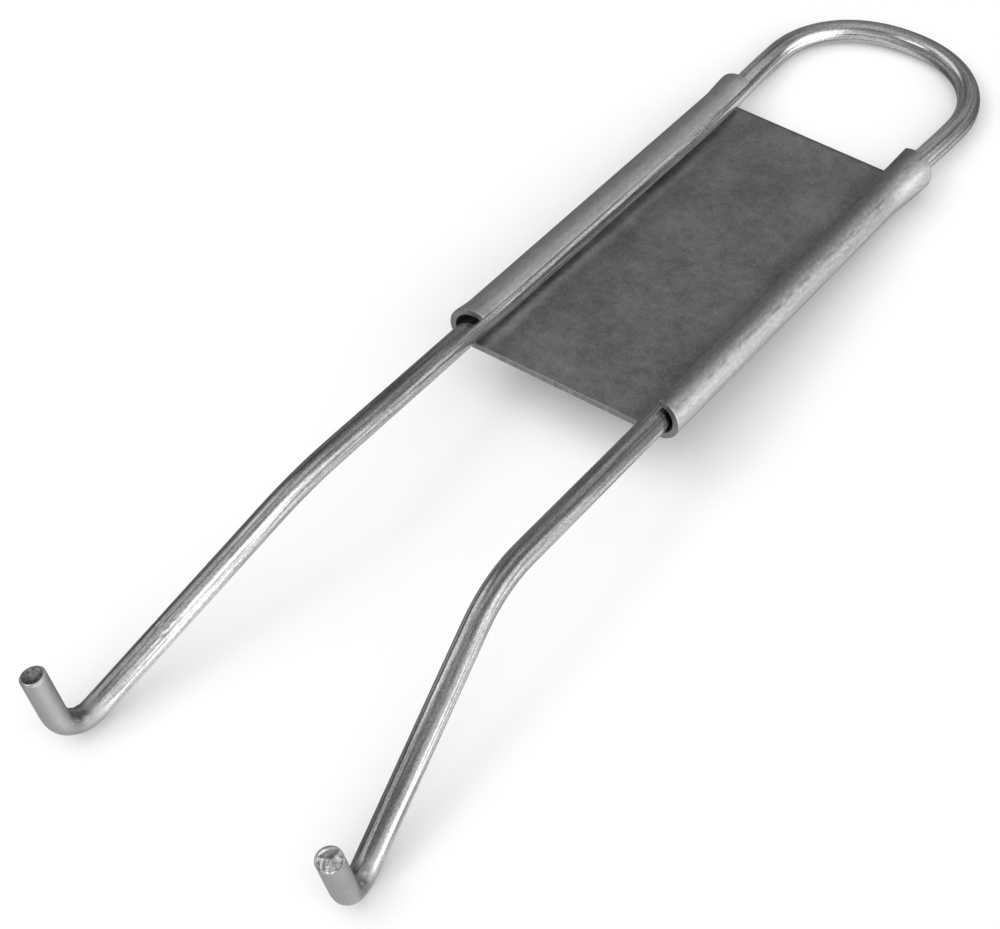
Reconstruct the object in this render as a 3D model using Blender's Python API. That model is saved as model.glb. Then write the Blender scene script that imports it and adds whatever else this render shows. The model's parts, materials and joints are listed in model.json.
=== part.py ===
"""Beekeeper's frame grip: a bent steel rod with a sheet-metal plate that slides on its legs.

The rod is one piece: a handle loop, a straight pair of legs, a bend where the
legs fall away, and a short hook at each end.  The plate is one piece: both
long edges are curled loosely round the rods.

The model is built in the plane of the straight rods (X across, Y towards the
handle loop, Z square to the plate) and then tilted about X, so that it lies on
a table on its hooks and the end of its loop.  Units are metres, +Z is up, and
the origin is the centre of the bounding box's underside.
"""
import math

import bmesh
import bpy
from mathutils import Matrix, Vector

# Rod
ROD_RADIUS = 0.0025
ROD_HALF_SPACING = 0.02215
ROD_SEGMENTS = 16

# Handle loop: a slightly flattened half oval that rises a little out of the rods' plane
LOOP_START_Y = 0.1117
LOOP_DEPTH = 0.0206
LOOP_HALF_WIDTH = 0.0234
LOOP_EXPONENT = 2.13
LOOP_RISE = 0.0019
LOOP_STEPS = 26
SPREAD_START_Y = 0.0770
SPREAD_STEPS = 6

# Legs: where each one bends down, where its hook turns up, and where the hook ends
LEFT_LEG = {
    "bend": (-0.02215, -0.0554, 0.0),
    "hook": (-0.0308, -0.1125, -0.0239),
    "tip": (-0.0335, -0.1147, -0.0067),
    "bend_radius": 0.040,
    "hook_radius": 0.0054,
}
RIGHT_LEG = {
    "bend": (0.02215, -0.0550, 0.0),
    "hook": (0.0321, -0.1096, -0.0240),
    "tip": (0.0329, -0.1141, -0.0066),
    "bend_radius": 0.039,
    "hook_radius": 0.0046,
}
BEND_STEPS = 6
HOOK_STEPS = 9

# Sliding plate: its far edge was cut a little out of square
SHEET_THICKNESS = 0.0014
PLATE_START_Y = -0.00365
PLATE_LENGTH = 0.0971
PLATE_SKEW = -0.043
PLATE_UNDERSIDE_Z = -0.00420
PLATE_ROWS = (0.0, 0.012, 0.026, 0.045, 0.08, 0.84, 0.88, 0.915, 0.945, 0.972, 1.0)
CURL_OUTER_RADIUS = 0.00439
CURL_OFFSET = 0.00012
# Each curl: its turn at the near and the far end, how much wider each end opens and over what
# length, how far the far end stands out sideways, and how the sheet's ends lean and bow
# along Y on their way round.
LEFT_CURL = {
    "side": -1,
    "turns": (math.radians(219), math.radians(219)),
    "near_flare": 0.00025, "near_reach": 0.005,
    "far_flare": 0.00035, "far_reach": 0.008, "far_shift": 0.0,
    "near_lean": 0.0008, "near_bow": 0.0028, "far_lean": 0.0006,
}
RIGHT_CURL = {
    "side": 1,
    "turns": (math.radians(187), math.radians(206)),
    "near_flare": 0.0, "near_reach": 0.005,
    "far_flare": 0.0005, "far_reach": 0.015, "far_shift": 0.0007,
    "near_lean": 0.0006, "near_bow": 0.0, "far_lean": 0.0,
}
CURL_STEPS = 16


def clear_scene():
    """Remove the objects that the file starts with."""
    for obj in list(bpy.data.objects):
        bpy.data.objects.remove(obj, do_unlink=True)


def make_material(name, colour, roughness, metallic):
    """Return a Principled material."""
    material = bpy.data.materials.new(name)
    material.use_nodes = True
    shader = material.node_tree.nodes["Principled BSDF"]
    shader.inputs["Base Color"].default_value = (*colour, 1.0)
    shader.inputs["Roughness"].default_value = roughness
    shader.inputs["Metallic"].default_value = metallic
    material.diffuse_color = (*colour, 1.0)
    return material


def rounded_corner(before, corner, after, radius, steps):
    """Return the points of an arc that rounds the corner of a line."""
    arriving = (corner - before).normalized()
    leaving = (after - corner).normalized()
    turn = arriving.angle(leaving)
    setback = radius * math.tan(turn / 2)
    start = corner - arriving * setback
    inward = (leaving - arriving * leaving.dot(arriving)).normalized()
    centre = start + inward * radius
    points = []
    for step in range(steps + 1):
        angle = turn * step / steps
        points.append(centre - inward * radius * math.cos(angle) + arriving * radius * math.sin(angle))
    return points


def leg_points(leg, side):
    """Return a leg's centre line, from its hook's end up to the straight rod."""
    tip = Vector(leg["tip"])
    hook = Vector(leg["hook"])
    bend = Vector(leg["bend"])
    rod = Vector((side * ROD_HALF_SPACING, PLATE_START_Y - 0.008, 0.0))
    points = [tip]
    points += rounded_corner(tip, hook, bend, leg["hook_radius"], HOOK_STEPS)
    points += rounded_corner(hook, bend, rod, leg["bend_radius"], BEND_STEPS)
    points.append(rod)
    return points


def spread_points(side):
    """Return the stretch above the plate, where the rods spread to the loop's width."""
    points = []
    length = LOOP_START_Y - SPREAD_START_Y
    extra = LOOP_HALF_WIDTH - ROD_HALF_SPACING
    for step in range(SPREAD_STEPS):
        part = step / SPREAD_STEPS
        eased = part * part * (3 - 2 * part)
        points.append(Vector((side * (ROD_HALF_SPACING + extra * eased), SPREAD_START_Y + length * part, 0.0)))
    return points


def loop_points():
    """Return the handle loop's centre line, from the left rod round to the right one."""
    points = []
    power = 2 / LOOP_EXPONENT
    for step in range(LOOP_STEPS + 1):
        angle = math.pi * (1 - step / LOOP_STEPS)
        across = math.copysign(abs(math.cos(angle)) ** power, math.cos(angle))
        along = max(math.sin(angle), 0.0) ** power
        points.append(Vector((
            LOOP_HALF_WIDTH * across,
            LOOP_START_Y + LOOP_DEPTH * along,
            LOOP_RISE * along,
        )))
    return points


def rod_centre_line():
    """Return the rod's whole centre line, from the left hook to the right one."""
    points = leg_points(LEFT_LEG, -1)
    points += spread_points(-1)
    points += loop_points()
    points += reversed(spread_points(1))
    points += reversed(leg_points(RIGHT_LEG, 1))
    return points


def make_rod(material):
    """Make the bent rod as a round section carried along its centre line."""
    points = rod_centre_line()
    curve = bpy.data.curves.new("bent_rod", "CURVE")
    curve.dimensions = "3D"
    curve.twist_mode = "MINIMUM"
    curve.bevel_depth = ROD_RADIUS
    curve.bevel_resolution = ROD_SEGMENTS // 2 - 2
    curve.use_fill_caps = True
    spline = curve.splines.new("POLY")
    spline.points.add(len(points) - 1)
    for slot, point in zip(spline.points, points):
        slot.co = (*point, 1.0)
    spline.use_smooth = True
    curve.materials.append(material)
    rod = bpy.data.objects.new("bent_rod", curve)
    bpy.context.scene.collection.objects.link(rod)
    return rod


def eased(share):
    """Return a smooth rise from 0 to 1, held at 0 before it and at 1 after it."""
    share = min(max(share, 0.0), 1.0)
    return share * share * (3 - 2 * share)


def curl_row(curl, share):
    """Return one row of a curl's outer surface, from its free edge to the flat underside."""
    near = eased(1 - share * PLATE_LENGTH / curl["near_reach"])
    far = eased(1 - (1 - share) * PLATE_LENGTH / curl["far_reach"])
    radius = CURL_OUTER_RADIUS + curl["near_flare"] * near + curl["far_flare"] * far
    centre_x = ROD_HALF_SPACING + CURL_OFFSET + curl["far_shift"] * far
    centre_z = PLATE_UNDERSIDE_Z + radius
    turn = curl["turns"][0] * (1 - share) + curl["turns"][1] * share
    points = []
    for step in range(CURL_STEPS + 1):
        wrap = 1 - step / CURL_STEPS
        angle = turn * wrap - math.pi / 2
        x = curl["side"] * (centre_x + radius * math.cos(angle))
        y = PLATE_START_Y + share * (PLATE_LENGTH + PLATE_SKEW * x)
        y += (1 - share) * wrap * (curl["near_lean"] - curl["near_bow"] * (1 - wrap))
        y += share * wrap * curl["far_lean"]
        points.append(Vector((x, y, centre_z + radius * math.sin(angle))))
    return points


def make_plate(material):
    """Make the plate: rows of its outer surface along Y, then given the sheet's thickness."""
    middle = Vector((0.0, PLATE_START_Y + PLATE_LENGTH / 2, 0.0))
    sheet = bmesh.new()
    rows = []
    for share in PLATE_ROWS:
        points = curl_row(LEFT_CURL, share) + list(reversed(curl_row(RIGHT_CURL, share)))
        rows.append([sheet.verts.new(point - middle) for point in points])
    for row, following in zip(rows, rows[1:]):
        for index in range(len(row) - 1):
            sheet.faces.new((row[index], row[index + 1], following[index + 1], following[index]))
    sheet.normal_update()
    underside = min(sheet.faces, key=lambda face: face.calc_center_median().z)
    if underside.normal.z > 0:
        bmesh.ops.reverse_faces(sheet, faces=sheet.faces)
    mesh = bpy.data.meshes.new("sliding_plate")
    sheet.to_mesh(mesh)
    sheet.free()
    mesh.materials.append(material)
    mesh.shade_smooth()
    mesh.set_sharp_from_angle(angle=math.radians(40))
    plate = bpy.data.objects.new("sliding_plate", mesh)
    plate.location = middle
    bpy.context.scene.collection.objects.link(plate)
    thickness = plate.modifiers.new("sheet_thickness", "SOLIDIFY")
    thickness.thickness = SHEET_THICKNESS
    thickness.offset = -1.0
    thickness.use_even_offset = True
    return plate


def rod_corners(rod):
    """Return the vertices of the rod's evaluated mesh, in the rods' own plane."""
    graph = bpy.context.evaluated_depsgraph_get()
    evaluated = rod.evaluated_get(graph)
    mesh = evaluated.to_mesh()
    corners = [vertex.co.copy() for vertex in mesh.vertices]
    evaluated.to_mesh_clear()
    return corners


def resting_tilt(corners):
    """Return the turn about X that sets the hooks and the end of the loop on one level."""
    tilt = 0.0
    for _ in range(8):
        turn = Matrix.Rotation(tilt, 3, "X")
        turned = [turn @ corner for corner in corners]
        hook = min((point for point in turned if point.y < 0), key=lambda point: point.z)
        loop = min((point for point in turned if point.y > LOOP_START_Y), key=lambda point: point.z)
        tilt -= math.atan2(loop.z - hook.z, loop.y - hook.y)
    return tilt


def set_down(rod, plate):
    """Parent both pieces to an empty that lays the grip on the table, centred on the origin."""
    corners = rod_corners(rod)
    tilt = resting_tilt(corners)
    turn = Matrix.Rotation(tilt, 3, "X")
    turned = [turn @ corner for corner in corners]
    middle_x = (min(p.x for p in turned) + max(p.x for p in turned)) / 2
    middle_y = (min(p.y for p in turned) + max(p.y for p in turned)) / 2
    bottom_z = min(p.z for p in turned)
    stand = bpy.data.objects.new("resting_pose", None)
    stand.rotation_euler = (tilt, 0.0, 0.0)
    stand.location = (-middle_x, -middle_y, -bottom_z)
    bpy.context.scene.collection.objects.link(stand)
    for piece in (rod, plate):
        piece.parent = stand


def main():
    clear_scene()
    rod_steel = make_material("bright_drawn_steel", (0.62, 0.62, 0.61), 0.28, 1.0)
    plate_steel = make_material("satin_plate_steel", (0.34, 0.34, 0.34), 0.42, 1.0)
    rod = make_rod(rod_steel)
    plate = make_plate(plate_steel)
    set_down(rod, plate)
    bpy.context.view_layer.update()


main()
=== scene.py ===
"""Looks for the frame grip: the bright bent rod and the satin sliding plate.

Both pieces are rebuilt finely in the plane of the straight rods (X across, Y
towards the handle loop, Z square to the plate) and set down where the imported
frame holds them.
"""
import json
import math

import bmesh
import bpy
import numpy as np
from mathutils import Matrix, Vector, noise

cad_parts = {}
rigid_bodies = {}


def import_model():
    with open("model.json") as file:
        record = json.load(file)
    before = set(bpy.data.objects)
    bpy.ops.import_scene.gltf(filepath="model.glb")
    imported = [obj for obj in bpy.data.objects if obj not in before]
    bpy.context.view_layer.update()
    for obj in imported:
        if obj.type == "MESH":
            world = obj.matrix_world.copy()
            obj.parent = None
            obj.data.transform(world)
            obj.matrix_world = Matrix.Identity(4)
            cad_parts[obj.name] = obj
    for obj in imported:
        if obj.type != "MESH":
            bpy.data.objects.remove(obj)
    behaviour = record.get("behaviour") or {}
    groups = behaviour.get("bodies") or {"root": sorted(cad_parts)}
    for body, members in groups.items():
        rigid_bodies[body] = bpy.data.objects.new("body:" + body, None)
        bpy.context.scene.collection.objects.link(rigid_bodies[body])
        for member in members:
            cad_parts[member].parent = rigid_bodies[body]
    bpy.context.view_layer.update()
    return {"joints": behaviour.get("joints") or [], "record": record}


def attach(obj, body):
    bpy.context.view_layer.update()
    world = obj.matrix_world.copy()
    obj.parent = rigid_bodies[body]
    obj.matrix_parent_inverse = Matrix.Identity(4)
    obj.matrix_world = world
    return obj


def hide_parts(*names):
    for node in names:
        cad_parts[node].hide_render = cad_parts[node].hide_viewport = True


for leftover in list(bpy.data.objects):
    bpy.data.objects.remove(leftover, do_unlink=True)
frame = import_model()

# Rod, as in the CAD
ROD_RADIUS = 0.0025
ROD_HALF_SPACING = 0.02215
LOOP_START_Y = 0.1117
LOOP_DEPTH = 0.0206
LOOP_HALF_WIDTH = 0.0234
LOOP_EXPONENT = 2.13
LOOP_RISE = 0.0019
SPREAD_START_Y = 0.0770
LEFT_LEG = {
    "bend": (-0.02215, -0.0554, 0.0),
    "hook": (-0.0308, -0.1125, -0.0239),
    "tip": (-0.0335, -0.1147, -0.0067),
    "bend_radius": 0.040,
    "hook_radius": 0.0054,
}
RIGHT_LEG = {
    "bend": (0.02215, -0.0550, 0.0),
    "hook": (0.0321, -0.1096, -0.0240),
    "tip": (0.0329, -0.1141, -0.0066),
    "bend_radius": 0.039,
    "hook_radius": 0.0046,
}

# Plate, as in the CAD
SHEET = 0.0014
PLATE_START_Y = -0.00365
PLATE_LENGTH = 0.0971
PLATE_SKEW = -0.043
FAR_Y = PLATE_START_Y + PLATE_LENGTH
PLATE_UNDERSIDE_Z = -0.00420
CURL_OUTER_RADIUS = 0.00439
CURL_OFFSET = 0.00012
LEFT_CURL = {
    "side": -1,
    "turns": (math.radians(219), math.radians(219)),
    "near_flare": 0.00025, "near_reach": 0.005,
    "far_flare": 0.00035, "far_reach": 0.008, "far_shift": 0.0,
    "near_lean": 0.0008, "near_bow": 0.0028, "far_lean": 0.0006,
}
RIGHT_CURL = {
    "side": 1,
    "turns": (math.radians(187), math.radians(206)),
    "near_flare": 0.0, "near_reach": 0.005,
    "far_flare": 0.0005, "far_reach": 0.015, "far_shift": 0.0007,
    "near_lean": 0.0006, "near_bow": 0.0, "far_lean": 0.0,
}

# Fineness of the visual meshes
RING_SPACING = 0.0005
RING_CORNERS = 56
CORNER_STEPS = 24
SPREAD_STEPS = 24
LOOP_STEPS = 120
CURL_STEPS = 48
PLATE_ROWS = 110
FLAT_COLUMNS = 44

# Softness of the wire's bends and of the sheet's edges
WIRE_SOFTNESS = 0.0011
EDGE_ROUNDING = 0.00022
CURL_EDGE_WANDER = 0.00010

# Shape of the rod's ends: rings from the rim to the middle, as shares of the rod's radius, then
# where the rim's look and the face's material change over
END_RINGS = (0.975, 0.94, 0.90, 0.86, 0.83, 0.80, 0.76, 0.70, 0.62, 0.53, 0.43, 0.32, 0.20, 0.09)
RIM_SHARE = 0.82
FACE_SHARE = 0.83
CHAMFER = 0.00036
CHAMFER_SHARE = 0.15
DISH_DEPTH = 0.00045
DISH_SHARE = 0.80
END_ROUGHNESS = 0.00006
END_GRAIN = 0.00003
# Facets of the torn end: the way each one rises, its slope and its height in the middle
TORN_FACETS = (
    (0.4, 0.55, 0.00045),
    (2.6, 0.50, 0.00030),
    (4.3, 0.42, 0.00038),
    (5.4, -0.20, 0.00050),
)
TORN_LIFT = 0.00012  # how far the torn face may stand out past the chamfer

# Marks on the rod: where the bending tool pressed each hook (leg, reach, depth, seed), and nicks on
# the sloping legs' upper sides (leg, share of the way from hook to bend, reach, depth)
TOOL_MARKS = ((LEFT_LEG, 0.0030, 0.00035, 1.0), (RIGHT_LEG, 0.0030, 0.00038, 7.0))
NICKS = (
    (LEFT_LEG, 0.42, 0.0020, 0.00030),
    (RIGHT_LEG, 0.30, 0.0012, 0.00012),
    (RIGHT_LEG, 0.62, 0.0009, 0.00010),
)
NICK_SIDE = Vector((0.35, -0.40, 0.85)).normalized()
MARK_GRAIN = 900.0
NICK_GRAIN = 1500.0
DARK_MARK_REACH = 0.0028

# Where the metal's look changes: along the wire from its ends, then along and across the plate; from the
# plate's near end on the wire's colour carries a painted sheen, mostly taken back off over the loop
DULL_LENGTH = 0.0185
DULL_FADE = 0.006
PAINTED_SHEEN_FROM, PAINTED_SHEEN_TO = -0.004, 0.004
LOOP_FROM, LOOP_TO = 0.094, 0.116
SCRATCH_X = 0.02526

# Studio
FLOOR_Z = -0.00005
FLOOR_HALF_SIZE = 4.0
LIGHT_TARGET = Vector((0.0, 0.0, 0.01))
# Soft patches of the surroundings: direction, the cosines where each starts and is full, brightness
WORLD_LOBES = (
    ((0, 0, 1), -2.0, -1.0, 0.24),
    ((0.10, 0.05, 0.99), 0.80, 0.95, 0.26),
    ((0.30, 0.66, 0.69), 0.70, 0.98, 0.16),
    ((-0.70, -0.05, 0.71), 0.92, 0.97, 1.00),
    ((-0.43, -0.50, 0.75), 0.978, 0.994, 3.00),
    ((0.45, -0.47, 0.76), 0.978, 0.994, 0.35),
    ((0.97, -0.10, 0.20), 0.58, 0.93, 1.60),
    ((0.60, -0.55, -0.58), -0.10, 0.45, 0.61),
)

# Camera
CAMERA_PLACE = (0.18467, -0.24262, 0.32704)
CAMERA_AZIMUTH = 41.350
CAMERA_ELEVATION = 48.810
CAMERA_ROLL = 6.577
CAMERA_LENS = 80.095


# ---------------------------------------------------------------- placing

def rods_plane():
    """Return the matrix from the rods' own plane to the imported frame."""
    record = frame["record"]
    axis = Vector(frame["joints"][0]["axis"])
    tilt = math.atan2(axis.z, axis.y)
    face = next(m for m in record["mounts"] if m["name"] == "plate_underside")
    inner = Vector((0.0, PLATE_START_Y + PLATE_LENGTH / 2, PLATE_UNDERSIDE_Z))
    turn = Matrix.Rotation(tilt, 4, "X")
    return Matrix.Translation(Vector(face["pos_m"])) @ turn @ Matrix.Translation(-inner)


def place(obj, plane, body, node):
    """Set a piece down on its body, in place of its CAD node; "spot" keeps its places in the rods' plane."""
    spot = obj.data.attributes.new("spot", "FLOAT_VECTOR", "POINT")
    spot.data.foreach_set("vector", [number for vertex in obj.data.vertices for number in vertex.co])
    obj.data.transform(plane)
    bpy.context.scene.collection.objects.link(obj)
    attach(obj, body)
    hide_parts(node)


# ---------------------------------------------------------------- rod

def eased(share):
    """Return a smooth rise from 0 to 1, held at 0 before it and at 1 after it."""
    share = min(max(share, 0.0), 1.0)
    return share * share * (3 - 2 * share)


def rounded_corner(before, corner, after, radius):
    """Return the points of an arc that rounds the corner of a line."""
    arriving = (corner - before).normalized()
    leaving = (after - corner).normalized()
    turn = arriving.angle(leaving)
    start = corner - arriving * radius * math.tan(turn / 2)
    inward = (leaving - arriving * leaving.dot(arriving)).normalized()
    centre = start + inward * radius
    points = []
    for step in range(CORNER_STEPS + 1):
        angle = turn * step / CORNER_STEPS
        points.append(centre - inward * radius * math.cos(angle) + arriving * radius * math.sin(angle))
    return points


def leg_points(leg, side):
    """Return a leg's centre line, from its hook's end up to the straight rod."""
    tip, hook, bend = (Vector(leg[name]) for name in ("tip", "hook", "bend"))
    rod = Vector((side * ROD_HALF_SPACING, PLATE_START_Y - 0.008, 0.0))
    points = [tip]
    points += rounded_corner(tip, hook, bend, leg["hook_radius"])
    points += rounded_corner(hook, bend, rod, leg["bend_radius"])
    points.append(rod)
    return points


def spread_points(side):
    """Return the stretch above the plate, where the rods spread to the loop's width."""
    points = []
    for step in range(SPREAD_STEPS):
        part = step / SPREAD_STEPS
        across = ROD_HALF_SPACING + (LOOP_HALF_WIDTH - ROD_HALF_SPACING) * eased(part)
        along = SPREAD_START_Y + (LOOP_START_Y - SPREAD_START_Y) * part
        points.append(Vector((side * across, along, 0.0)))
    return points


def loop_points():
    """Return the handle loop's centre line, from the left rod round to the right one."""
    points = []
    power = 2 / LOOP_EXPONENT
    for step in range(LOOP_STEPS + 1):
        angle = math.pi * (1 - step / LOOP_STEPS)
        across = math.copysign(abs(math.cos(angle)) ** power, math.cos(angle))
        along = max(math.sin(angle), 0.0) ** power
        points.append(Vector((
            LOOP_HALF_WIDTH * across,
            LOOP_START_Y + LOOP_DEPTH * along,
            LOOP_RISE * along,
        )))
    return points


def centre_line():
    """Return evenly spaced points along the rod, softened as a bent wire is, and their spacing."""
    points = leg_points(LEFT_LEG, -1) + spread_points(-1) + loop_points()
    points += list(reversed(spread_points(1))) + list(reversed(leg_points(RIGHT_LEG, 1)))
    line = np.array(points)
    line = line[np.r_[True, np.linalg.norm(np.diff(line, axis=0), axis=1) > 1e-6]]
    travel = np.r_[0, np.cumsum(np.linalg.norm(np.diff(line, axis=0), axis=1))]
    count = int(round(travel[-1] / RING_SPACING)) + 1
    even = np.linspace(0, travel[-1], count)
    line = np.stack([np.interp(even, travel, line[:, k]) for k in range(3)], axis=1)
    spacing = travel[-1] / (count - 1)
    reach = int(3 * WIRE_SOFTNESS / spacing)
    offsets = np.arange(-reach, reach + 1) * spacing
    weights = np.exp(-0.5 * (offsets / WIRE_SOFTNESS) ** 2)
    weights /= weights.sum()
    head = 2 * line[0] - line[reach:0:-1]
    tail = 2 * line[-1] - line[-2:-reach - 2:-1]
    padded = np.vstack([head, line, tail])
    soft = np.stack([np.convolve(padded[:, k], weights, "valid") for k in range(3)], axis=1)
    return soft, spacing


def carried_frames(line):
    """Return the tangents and two cross directions, carried along the line without twist."""
    tangents = np.gradient(line, axis=0)
    tangents /= np.linalg.norm(tangents, axis=1, keepdims=True)
    first = np.zeros_like(line)
    side = np.array((1.0, 0.0, 0.0))
    for index, tangent in enumerate(tangents):
        side = side - tangent * side.dot(tangent)
        side /= np.linalg.norm(side)
        first[index] = side
    return tangents, first, np.cross(tangents, first)


def dent(points, place_at, reach, depth, scale, seed):
    """Return how far each point sinks: a patch of small rough dents round one place."""
    gap = np.linalg.norm(points - np.array(place_at), axis=-1)
    sink = np.zeros(gap.shape)
    for index in np.argwhere(gap < 2.5 * reach):
        key = tuple(index)
        rough = noise.fractal(Vector(points[key]) * scale + Vector((seed, 0, 0)), 0.8, 2.2, 3)
        sink[key] = depth * math.exp(-(gap[key] / reach) ** 2) * (0.55 + 0.9 * rough)
    return sink


def hook_inside(leg):
    """Return the point on the inner side of a hook's bend, where the bending tool pressed."""
    tip, hook, bend = (Vector(leg[name]) for name in ("tip", "hook", "bend"))
    inward = ((tip - hook).normalized() + (bend - hook).normalized()).normalized()
    return hook + inward * (leg["hook_radius"] * 0.36 + ROD_RADIUS * 1.05)


def nick_place(leg, share):
    """Return the point on a sloping leg's upper side where a tool left a nick."""
    centre = Vector(leg["hook"]).lerp(Vector(leg["bend"]), share)
    return centre + NICK_SIDE * ROD_RADIUS


def end_depth(kind, share, angle):
    """Return how far out an end face stands: a chamfered dish, or the facets of a torn cut."""
    chamfer = CHAMFER * min((1 - share) / CHAMFER_SHARE, 1.0)
    if kind == "dished":
        dish = 1 - min(share / DISH_SHARE, 1.0) ** 2
        return chamfer - DISH_DEPTH * dish * (1 + 0.25 * math.cos(angle - 0.7))
    facets = [low + slope * ROD_RADIUS * share * math.cos(angle - way) for way, slope, low in TORN_FACETS]
    return min(min(facets), chamfer + TORN_LIFT)


def rod_skin(line, spokes):
    """Return the points of the rod's round surface, dented where tools marked it."""
    skin = line[:, None] + spokes * ROD_RADIUS
    sink = np.zeros(skin.shape[:2])
    for leg, reach, depth, seed in TOOL_MARKS:
        sink += dent(skin, hook_inside(leg), reach, depth, MARK_GRAIN, seed)
    for leg, share, reach, depth in NICKS:
        sink += dent(skin, nick_place(leg, share), reach, depth, NICK_GRAIN, 11.0 * share)
    return skin - spokes * sink[:, :, None]


def rod_mesh():
    """Build the rod as fine rings along its centre line, with shaped ends."""
    line, spacing = centre_line()
    tangents, first, second = carried_frames(line)
    angles = np.linspace(0, 2 * math.pi, RING_CORNERS, endpoint=False)
    spokes = first[:, None] * np.cos(angles)[None, :, None] + second[:, None] * np.sin(angles)[None, :, None]
    skin = rod_skin(line, spokes)
    length = spacing * (len(line) - 1)
    along = np.arange(len(line)) * spacing

    mesh = bmesh.new()
    wire = mesh.verts.layers.float_vector.new("wire")
    dull = mesh.verts.layers.float.new("dull")
    struck = mesh.verts.layers.float.new("struck")
    pressed = [hook_inside(leg) for leg in (LEFT_LEG, RIGHT_LEG)]

    def corner(point, travel, angle, dulled=None):
        """Add a vertex with its place on the wire, its dullness and how near it is to a tool mark."""
        vertex = mesh.verts.new(point)
        vertex[wire] = (travel, ROD_RADIUS * math.cos(angle), ROD_RADIUS * math.sin(angle))
        from_end = min(travel, length - travel)
        vertex[dull] = 1 - eased((from_end - DULL_LENGTH) / DULL_FADE) if dulled is None else dulled
        gap = min((Vector(point) - place_at).length for place_at in pressed)
        vertex[struck] = eased(1.5 - gap / DARK_MARK_REACH)
        return vertex

    def end_ring(end, kind, out, share):
        """Return one ring of an end face, at a share of the rod's radius."""
        ring = []
        for k in range(RING_CORNERS):
            grain = noise.noise(Vector(spokes[end, k] * share * 4.0) + Vector((3.0 * out, 0, 0)))
            fine = noise.noise(Vector(spokes[end, k] * share * 11.0) + Vector((0, 5.0, 0)))
            depth = end_depth(kind, share, angles[k])
            depth = depth + END_ROUGHNESS * grain * (share < 0.95) + END_GRAIN * fine
            point = line[end] + spokes[end, k] * ROD_RADIUS * share + tangents[end] * out * depth
            ring.append(corner(point, along[end], angles[k], 2.0 if share > RIM_SHARE else 1.0))
        return ring

    rings = [[corner(skin[i, k], along[i], angles[k]) for k in range(RING_CORNERS)] for i in range(len(line))]
    for low, high in zip(rings, rings[1:]):
        for k in range(RING_CORNERS):
            n = (k + 1) % RING_CORNERS
            mesh.faces.new((low[k], low[n], high[n], high[k]))
    for end, kind, out in ((0, "dished", -1), (-1, "torn", 1)):
        ring = rings[end]
        for share in END_RINGS:
            inner = end_ring(end, kind, out, share)
            bridge(mesh, ring, inner, out, share < FACE_SHARE)
            ring = inner
        middle = line[end] + tangents[end] * out * end_depth(kind, 0.0, 0.0)
        middle = corner(middle, along[end], 0.0, 1.0)
        for k in range(RING_CORNERS):
            n = (k + 1) % RING_CORNERS
            face = mesh.faces.new((ring[k], ring[n], middle) if out > 0 else (ring[n], ring[k], middle))
            face.material_index = 1
    data = bpy.data.meshes.new("rod")
    mesh.to_mesh(data)
    mesh.free()
    data.shade_smooth()
    data.set_sharp_from_angle(angle=math.radians(50))
    return data


def bridge(mesh, outer, inner, out, is_face):
    """Join two rings of an end, facing outwards."""
    for k in range(RING_CORNERS):
        n = (k + 1) % RING_CORNERS
        corners = (outer[k], outer[n], inner[n], inner[k])
        face = mesh.faces.new(corners if out > 0 else corners[::-1])
        face.material_index = 1 if is_face else 0


# ---------------------------------------------------------------- plate

def curl_row(curl, share):
    """Return one row of a curl's outer surface, from its free edge to the flat underside."""
    near = eased(1 - share * PLATE_LENGTH / curl["near_reach"])
    far = eased(1 - (1 - share) * PLATE_LENGTH / curl["far_reach"])
    radius = CURL_OUTER_RADIUS + curl["near_flare"] * near + curl["far_flare"] * far
    centre_x = ROD_HALF_SPACING + CURL_OFFSET + curl["far_shift"] * far
    centre_z = PLATE_UNDERSIDE_Z + radius
    turn = curl["turns"][0] * (1 - share) + curl["turns"][1] * share
    points = []
    for step in range(CURL_STEPS + 1):
        wrap = 1 - step / CURL_STEPS
        angle = turn * wrap - math.pi / 2
        x = curl["side"] * (centre_x + radius * math.cos(angle))
        y = PLATE_START_Y + share * (PLATE_LENGTH + PLATE_SKEW * x)
        y += (1 - share) * wrap * (curl["near_lean"] - curl["near_bow"] * (1 - wrap))
        y += share * wrap * curl["far_lean"]
        wander = noise.noise(Vector((curl["side"] * 7.0, y * 150, wrap * 2.0)))
        points.append(Vector((x, y + CURL_EDGE_WANDER * wander, centre_z + radius * math.sin(angle))))
    return points


def plate_mesh():
    """Build the sheet's outer surface in rows along Y; a modifier gives it thickness."""
    mesh = bmesh.new()
    rows = []
    for row in range(PLATE_ROWS + 1):
        share = row / PLATE_ROWS
        left = curl_row(LEFT_CURL, share)
        right = list(reversed(curl_row(RIGHT_CURL, share)))
        flat = [left[-1].lerp(right[0], step / FLAT_COLUMNS) for step in range(1, FLAT_COLUMNS)]
        rows.append([mesh.verts.new(point) for point in left + flat + right])
    for low, high in zip(rows, rows[1:]):
        for k in range(len(low) - 1):
            mesh.faces.new((low[k], high[k], high[k + 1], low[k + 1]))
    mesh.normal_update()
    underside = min(mesh.faces, key=lambda face: face.calc_center_median().z)
    if underside.normal.z > 0:
        bmesh.ops.reverse_faces(mesh, faces=mesh.faces)
    data = bpy.data.meshes.new("plate")
    mesh.to_mesh(data)
    mesh.free()
    data.shade_smooth()
    return data


# ---------------------------------------------------------------- materials

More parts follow.
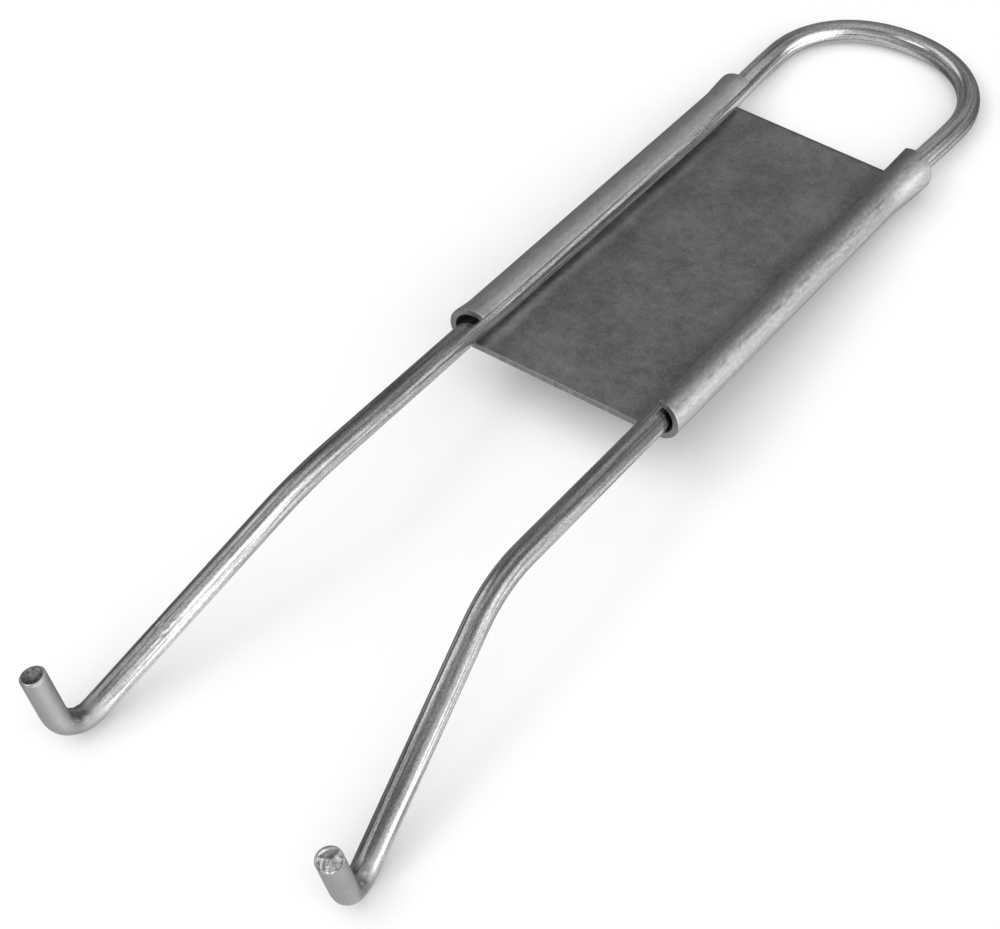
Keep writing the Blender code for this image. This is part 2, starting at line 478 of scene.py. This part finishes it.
class Nodes:
    """A short way to write a material's nodes."""

    def __init__(self, name):
        self.material = bpy.data.materials.new(name)
        self.material.use_nodes = True
        self.tree = self.material.node_tree
        self.shader = self.tree.nodes["Principled BSDF"]

    def link(self, source, target):
        """Feed a socket from another node, or set it to a plain number."""
        if hasattr(source, "is_output"):
            self.tree.links.new(source, target)
        else:
            target.default_value = source

    def coordinates(self, name=None):
        """Return the object's own coordinates, or a named vector of the mesh."""
        if name is None:
            return self.tree.nodes.new("ShaderNodeTexCoord").outputs["Object"]
        node = self.tree.nodes.new("ShaderNodeAttribute")
        node.attribute_name = name
        return node.outputs["Vector"]

    def number(self, name):
        """Return a named number of the mesh."""
        node = self.tree.nodes.new("ShaderNodeAttribute")
        node.attribute_name = name
        return node.outputs["Fac"]

    def stretched(self, vector, scale, shift=(0, 0, 0)):
        """Return the vector scaled along each axis; a small number draws a pattern out along it."""
        node = self.tree.nodes.new("ShaderNodeMapping")
        node.inputs["Scale"].default_value = scale
        node.inputs["Location"].default_value = shift
        self.link(vector, node.inputs["Vector"])
        return node.outputs["Vector"]

    def noise(self, vector, scale, detail=3.0, roughness=0.55):
        """Return smooth noise between 0 and 1."""
        node = self.tree.nodes.new("ShaderNodeTexNoise")
        node.inputs["Scale"].default_value = scale
        node.inputs["Detail"].default_value = detail
        node.inputs["Roughness"].default_value = roughness
        self.link(vector, node.inputs["Vector"])
        return node.outputs["Fac"]

    def ranged(self, value, low, high, to_low=0.0, to_high=1.0, smooth=False):
        """Return to_low where the value is low and to_high where it is high, held beyond them."""
        node = self.tree.nodes.new("ShaderNodeMapRange")
        node.interpolation_type = "SMOOTHSTEP" if smooth else "LINEAR"
        limits = {"From Min": low, "From Max": high, "To Min": to_low, "To Max": to_high}
        for socket, number in limits.items():
            self.link(number, node.inputs[socket])
        self.link(value, node.inputs["Value"])
        return node.outputs["Result"]

    def maths(self, operation, first, second=0.0):
        """Return the result of one sum on two values."""
        node = self.tree.nodes.new("ShaderNodeMath")
        node.operation = operation
        self.link(first, node.inputs[0])
        self.link(second, node.inputs[1])
        return node.outputs["Value"]

    def mixed(self, share, first, second):
        """Return first where share is 0 and second where it is 1."""
        node = self.tree.nodes.new("ShaderNodeMix")
        self.link(share, node.inputs["Factor"])
        self.link(first, node.inputs["A"])
        self.link(second, node.inputs["B"])
        return node.outputs["Result"]

    def grey(self, value):
        """Return a colour with the same red, green and blue."""
        node = self.tree.nodes.new("ShaderNodeCombineColor")
        for socket in ("Red", "Green", "Blue"):
            self.link(value, node.inputs[socket])
        return node.outputs["Color"]

    def axes(self, vector):
        """Return the vector's X, Y and Z."""
        node = self.tree.nodes.new("ShaderNodeSeparateXYZ")
        self.link(vector, node.inputs["Vector"])
        return node.outputs["X"], node.outputs["Y"], node.outputs["Z"]

    def bumps(self, height, strength, distance, after=None):
        """Return a normal roughened by a height, on top of another normal where one is given."""
        node = self.tree.nodes.new("ShaderNodeBump")
        node.inputs["Strength"].default_value = strength
        node.inputs["Distance"].default_value = distance
        self.link(height, node.inputs["Height"])
        if after is not None:
            self.link(after, node.inputs["Normal"])
        return node.outputs["Normal"]

    def finish(self, grey, roughness, normal):
        """Set the shader up as bare metal and return the material."""
        self.link(self.grey(grey), self.shader.inputs["Base Color"])
        self.link(roughness, self.shader.inputs["Roughness"])
        self.link(normal, self.shader.inputs["Normal"])
        self.shader.inputs["Metallic"].default_value = 1.0
        return self.material


def rod_steel():
    """Bright drawn wire: streaks along it, glossy on the legs and loop, dull on the hooks, lightened by a
    painted sheen from the plate's near end on.
    """
    n = Nodes("bright_drawn_steel")
    wire = n.coordinates("wire")
    mark = n.number("dull")
    dull = n.ranged(mark, 0.0, 1.0)
    rim = n.ranged(mark, 1.3, 1.9)
    lines = n.noise(n.stretched(wire, (0.025, 1.0, 1.0)), 1500.0, 4.0, 0.6)
    broad = n.noise(n.stretched(wire, (0.020, 1.0, 1.0), (5, 2, 1)), 520.0, 2.0, 0.5)
    dashes = n.noise(n.stretched(wire, (0.16, 1.0, 1.0), (3, 9, 4)), 2300.0, 4.0, 0.7)
    grain = n.noise(wire, 2600.0, 4.0, 0.7)
    patches = n.noise(n.stretched(wire, (0.25, 1.0, 1.0), (1, 7, 3)), 420.0, 3.0, 0.6)
    streaks = n.maths("ADD", n.maths("MULTIPLY", lines, broad), n.maths("MULTIPLY", dashes, 0.10))
    bright = n.ranged(streaks, 0.225, 0.385, 0.25, 0.79)
    speck = n.noise(n.stretched(wire, (0.45, 1.0, 1.0), (8, 1, 6)), 3300.0, 4.0, 0.75)
    pits = n.ranged(n.maths("ADD", speck, grain), 0.80, 1.20, 0.66, 1.16)
    bright = n.maths("MULTIPLY", bright, pits)
    y = n.axes(n.coordinates("spot"))[1]
    # Painted sheen: the wire's colour is lightened from the plate's near end on, and mostly taken back off
    # over the loop
    painted_sheen = n.ranged(y, PAINTED_SHEEN_FROM, PAINTED_SHEEN_TO, 1.0, 1.65)
    loop = n.ranged(y, LOOP_FROM, LOOP_TO, 1.0, 0.56)
    bright = n.maths("MULTIPLY", bright, n.maths("MULTIPLY", painted_sheen, loop))
    flat = n.ranged(n.maths("ADD", grain, n.maths("MULTIPLY", patches, 0.5)), 0.55, 0.95, 0.36, 0.47)
    grey = n.mixed(rim, n.mixed(dull, bright, flat), 0.86)
    struck = n.maths("MULTIPLY", n.number("struck"), n.ranged(patches, 0.40, 0.56))
    grey = n.maths("MULTIPLY", grey, n.ranged(struck, 0.0, 1.0, 1.0, 0.30))
    gloss = n.ranged(patches, 0.35, 0.70, 0.14, 0.28)
    rough = n.mixed(dull, gloss, n.ranged(grain, 0.3, 0.7, 0.56, 0.68))
    roughness = n.mixed(rim, rough, 0.24)
    height = n.mixed(dull, n.maths("ADD", lines, n.maths("MULTIPLY", broad, 1.6)), grain)
    return n.finish(grey, roughness, n.bumps(height, 0.19, 0.00007))


def end_steel():
    """The torn face of a sheared end, with painted shade on the left hook's end and painted light on the
    right one's.
    """
    n = Nodes("sheared_steel")
    place_at = n.coordinates("spot")
    coarse = n.noise(place_at, 1300.0, 4.0, 0.65)
    # Painted shade and light: the left end's face is darkened and the right end's lightened
    side = n.ranged(n.axes(place_at)[0], -0.01, 0.01, 0.62, 1.35)
    grey = n.maths("MULTIPLY", n.ranged(coarse, 0.38, 0.62, 0.18, 0.56), side)
    roughness = n.ranged(coarse, 0.3, 0.7, 0.45, 0.26)
    return n.finish(grey, roughness, n.bumps(coarse, 0.6, 0.00016))


def cut_steel():
    """The sheet's sheared edge: darker than its faces and finely grained."""
    n = Nodes("cut_sheet_edge")
    grain = n.noise(n.coordinates("spot"), 2100.0, 4.0, 0.7)
    grey = n.ranged(grain, 0.35, 0.65, 0.19, 0.30)
    roughness = n.ranged(grain, 0.3, 0.7, 0.48, 0.36)
    return n.finish(grey, roughness, n.bumps(grain, 0.3, 0.00006))


def plate_steel():
    """Satin sheet: fine mottled grain, soft lines along it, curls rubbed brighter, and painted shade beside
    the right curl, along the far edge and across both curls.
    """
    n = Nodes("satin_sheet_steel")
    spot = n.coordinates("spot")
    x, y, z = n.axes(spot)
    grain = n.noise(spot, 2300.0, 4.0, 0.75)
    cloud = n.noise(spot, 75.0, 3.0, 0.5)
    mottle = n.noise(spot, 420.0, 5.0, 0.65)
    lines = n.noise(n.stretched(spot, (1.0, 0.03, 1.0)), 900.0, 4.0, 0.6)
    raised = n.ranged(z, PLATE_UNDERSIDE_Z + SHEET * 1.3, PLATE_UNDERSIDE_Z + 0.0050, smooth=True)
    right = n.ranged(x, 0.0, 0.02)
    rubbed = n.maths("MULTIPLY", raised, n.ranged(right, 0.0, 1.0, 0.65, 1.0))
    specks = n.ranged(n.noise(n.stretched(spot, (1.0, 0.55, 1.0), (2, 1, 4)), 1900.0, 4.0, 0.7), 0.46, 0.66)
    dashes = n.ranged(n.noise(n.stretched(spot, (1.0, 0.16, 1.0), (7, 3, 1)), 1100.0, 3.0, 0.6), 0.60, 0.66)
    speckle = n.maths("ADD", n.maths("MULTIPLY", grain, 1.2), n.maths("MULTIPLY", mottle, 0.6))
    fleck = n.maths("ADD", speckle, n.maths("MULTIPLY", cloud, 0.7))
    base = n.ranged(fleck, 0.95, 1.55, 0.25, 0.51)
    # Painted shade: the flat darkens towards the right curl
    base = n.maths("MULTIPLY", base, n.ranged(x, 0.0125, 0.0175, 1.0, 0.74, smooth=True))
    # Painted shade: a dark line along the far edge
    far_edge = n.maths("SUBTRACT", y, n.maths("MULTIPLY", x, PLATE_SKEW))
    base = n.maths("MULTIPLY", base, n.ranged(far_edge, FAR_Y - 0.0012, FAR_Y - 0.0002, 1.0, 0.55))
    scuffed = n.maths("ADD", lines, n.maths("MULTIPLY", specks, 0.35))
    curl = n.ranged(n.maths("SUBTRACT", scuffed, n.maths("MULTIPLY", dashes, 0.30)), 0.20, 0.95, 0.46, 0.76)
    # Painted shade and light across the curls: the left curl darkens towards its outer side and lightens
    # towards its free edge, and the right curl darkens on its inner side
    left_curl_painted_shading = n.ranged(x, -0.0262, -0.0198, 0.62, 1.40)
    right_curl_painted_shade = n.ranged(x, 0.0230, 0.0252, 0.48, 1.0, smooth=True)
    curl = n.maths("MULTIPLY", curl, n.mixed(right, left_curl_painted_shading, right_curl_painted_shade))
    line = n.ranged(n.maths("ABSOLUTE", n.maths("SUBTRACT", x, SCRATCH_X)), 0.00006, 0.00042, 1.0, 0.0)
    broken = n.ranged(n.noise(n.stretched(spot, (0.6, 0.30, 0.6), (0, 4, 0)), 900.0, 3.0, 0.6), 0.44, 0.60)
    scratch = n.maths("MULTIPLY", line, broken)
    curl = n.maths("MULTIPLY", curl, n.ranged(scratch, 0.0, 1.0, 1.0, 0.66))
    grey = n.mixed(rubbed, base, curl)
    satin = n.ranged(mottle, 0.3, 0.7, 0.34, 0.46)
    roughness = n.mixed(rubbed, satin, n.ranged(specks, 0.0, 1.0, 0.36, 0.48))
    fine = n.bumps(grain, 0.35, 0.00005)
    normal = n.bumps(n.maths("ADD", lines, mottle), 0.25, 0.00010, fine)
    return n.finish(grey, roughness, normal)


def floor_surface():
    """A plain pale floor."""
    n = Nodes("pale_floor")
    shade = n.ranged(n.noise(n.coordinates(), 30.0, 2.0), 0.3, 0.7, 0.865, 0.875)
    n.link(n.grey(shade), n.shader.inputs["Base Color"])
    n.shader.inputs["Roughness"].default_value = 0.9
    n.shader.inputs["Specular IOR Level"].default_value = 0.1
    return n.material


# ---------------------------------------------------------------- studio

def studio_floor():
    """Lay a pale floor just under the part; it isn't seen in reflections."""
    mesh = bmesh.new()
    bmesh.ops.create_grid(mesh, x_segments=2, y_segments=2, size=FLOOR_HALF_SIZE)
    data = bpy.data.meshes.new("floor")
    mesh.to_mesh(data)
    mesh.free()
    data.materials.append(floor_surface())
    floor = bpy.data.objects.new("floor", data)
    bpy.context.scene.collection.objects.link(floor)
    floor.location.z = FLOOR_Z
    floor.visible_glossy = False


def soft_light(name, direction, distance, size, radiance):
    """Place a square soft light that shines at the part with a given brightness of its face."""
    data = bpy.data.lights.new(name, "AREA")
    data.shape = "SQUARE"
    data.size = size
    data.energy = radiance * math.pi * size * size
    light = bpy.data.objects.new(name, data)
    light.visible_glossy = False
    light.location = LIGHT_TARGET + Vector(direction).normalized() * distance
    light.rotation_euler = (LIGHT_TARGET - light.location).to_track_quat("-Z", "Y").to_euler()
    bpy.context.scene.collection.objects.link(light)


def studio_world():
    """A soft grey studio, brightened by a few broad patches and two small highlights."""
    world = bpy.data.worlds.new("studio")
    world.use_nodes = True
    tree = world.node_tree
    background = tree.nodes["Background"]
    place_at = tree.nodes.new("ShaderNodeTexCoord").outputs["Generated"]

    def lobe(direction, low, high, strength):
        """Return the brightness of one patch of the surroundings."""
        dot = tree.nodes.new("ShaderNodeVectorMath")
        dot.operation = "DOT_PRODUCT"
        dot.inputs[1].default_value = Vector(direction).normalized()
        tree.links.new(place_at, dot.inputs[0])
        ranged = tree.nodes.new("ShaderNodeMapRange")
        ranged.interpolation_type = "SMOOTHSTEP"
        ranged.inputs["From Min"].default_value = low
        ranged.inputs["From Max"].default_value = high
        ranged.inputs["To Max"].default_value = strength
        tree.links.new(dot.outputs["Value"], ranged.inputs["Value"])
        return ranged.outputs["Result"]

    total = None
    for part in WORLD_LOBES:
        value = lobe(*part)
        if total is not None:
            add = tree.nodes.new("ShaderNodeMath")
            tree.links.new(total, add.inputs[0])
            tree.links.new(value, add.inputs[1])
            value = add.outputs["Value"]
        total = value
    background.inputs["Color"].default_value = (1.0, 1.0, 1.0, 1.0)
    tree.links.new(total, background.inputs["Strength"])
    bpy.context.scene.world = world


def aim_camera():
    """Look down on the part from the right of its hooks, slightly rolled."""
    data = bpy.data.cameras.new("camera")
    data.lens = CAMERA_LENS
    data.sensor_width = 36.0
    data.clip_start = 0.01
    camera = bpy.data.objects.new("camera", data)
    azimuth, elevation, roll = (math.radians(v) for v in (CAMERA_AZIMUTH, CAMERA_ELEVATION, CAMERA_ROLL))
    turn = Matrix.Rotation(azimuth, 4, "Z") @ Matrix.Rotation(math.pi / 2 - elevation, 4, "X")
    camera.matrix_world = Matrix.Translation(CAMERA_PLACE) @ turn @ Matrix.Rotation(-roll, 4, "Z")
    bpy.context.scene.collection.objects.link(camera)
    bpy.context.scene.camera = camera


# ---------------------------------------------------------------- scene

def build_rod(plane):
    """Make the rod, with its ends in their own material, and set it on its body."""
    rod = bpy.data.objects.new("bent_rod_fine", rod_mesh())
    rod.data.materials.append(rod_steel())
    rod.data.materials.append(end_steel())
    place(rod, plane, "rod", "bent_rod")


def build_plate(plane):
    """Make the plate, give it thickness and slightly rounded edges, and set it on its body."""
    plate = bpy.data.objects.new("sliding_plate_fine", plate_mesh())
    plate.data.materials.append(plate_steel())
    plate.data.materials.append(cut_steel())
    thickness = plate.modifiers.new("sheet_thickness", "SOLIDIFY")
    thickness.thickness = SHEET
    thickness.offset = -1.0
    thickness.material_offset_rim = 1
    thickness.use_even_offset = True
    edge = plate.modifiers.new("eased_edges", "BEVEL")
    edge.width = EDGE_ROUNDING
    edge.segments = 3
    edge.limit_method = "ANGLE"
    edge.angle_limit = math.radians(55)
    edge.harden_normals = True
    place(plate, plane, "plate", "sliding_plate")


def main():
    """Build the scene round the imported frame."""
    aim_camera()
    plane = rods_plane()
    build_rod(plane)
    build_plate(plane)
    studio_floor()
    studio_world()
    soft_light("softbox", (-0.25, -0.35, 0.90), 1.0, 2.6, 0.80)
    bpy.context.scene.view_settings.view_transform = "Standard"
    bpy.context.view_layer.update()


main()
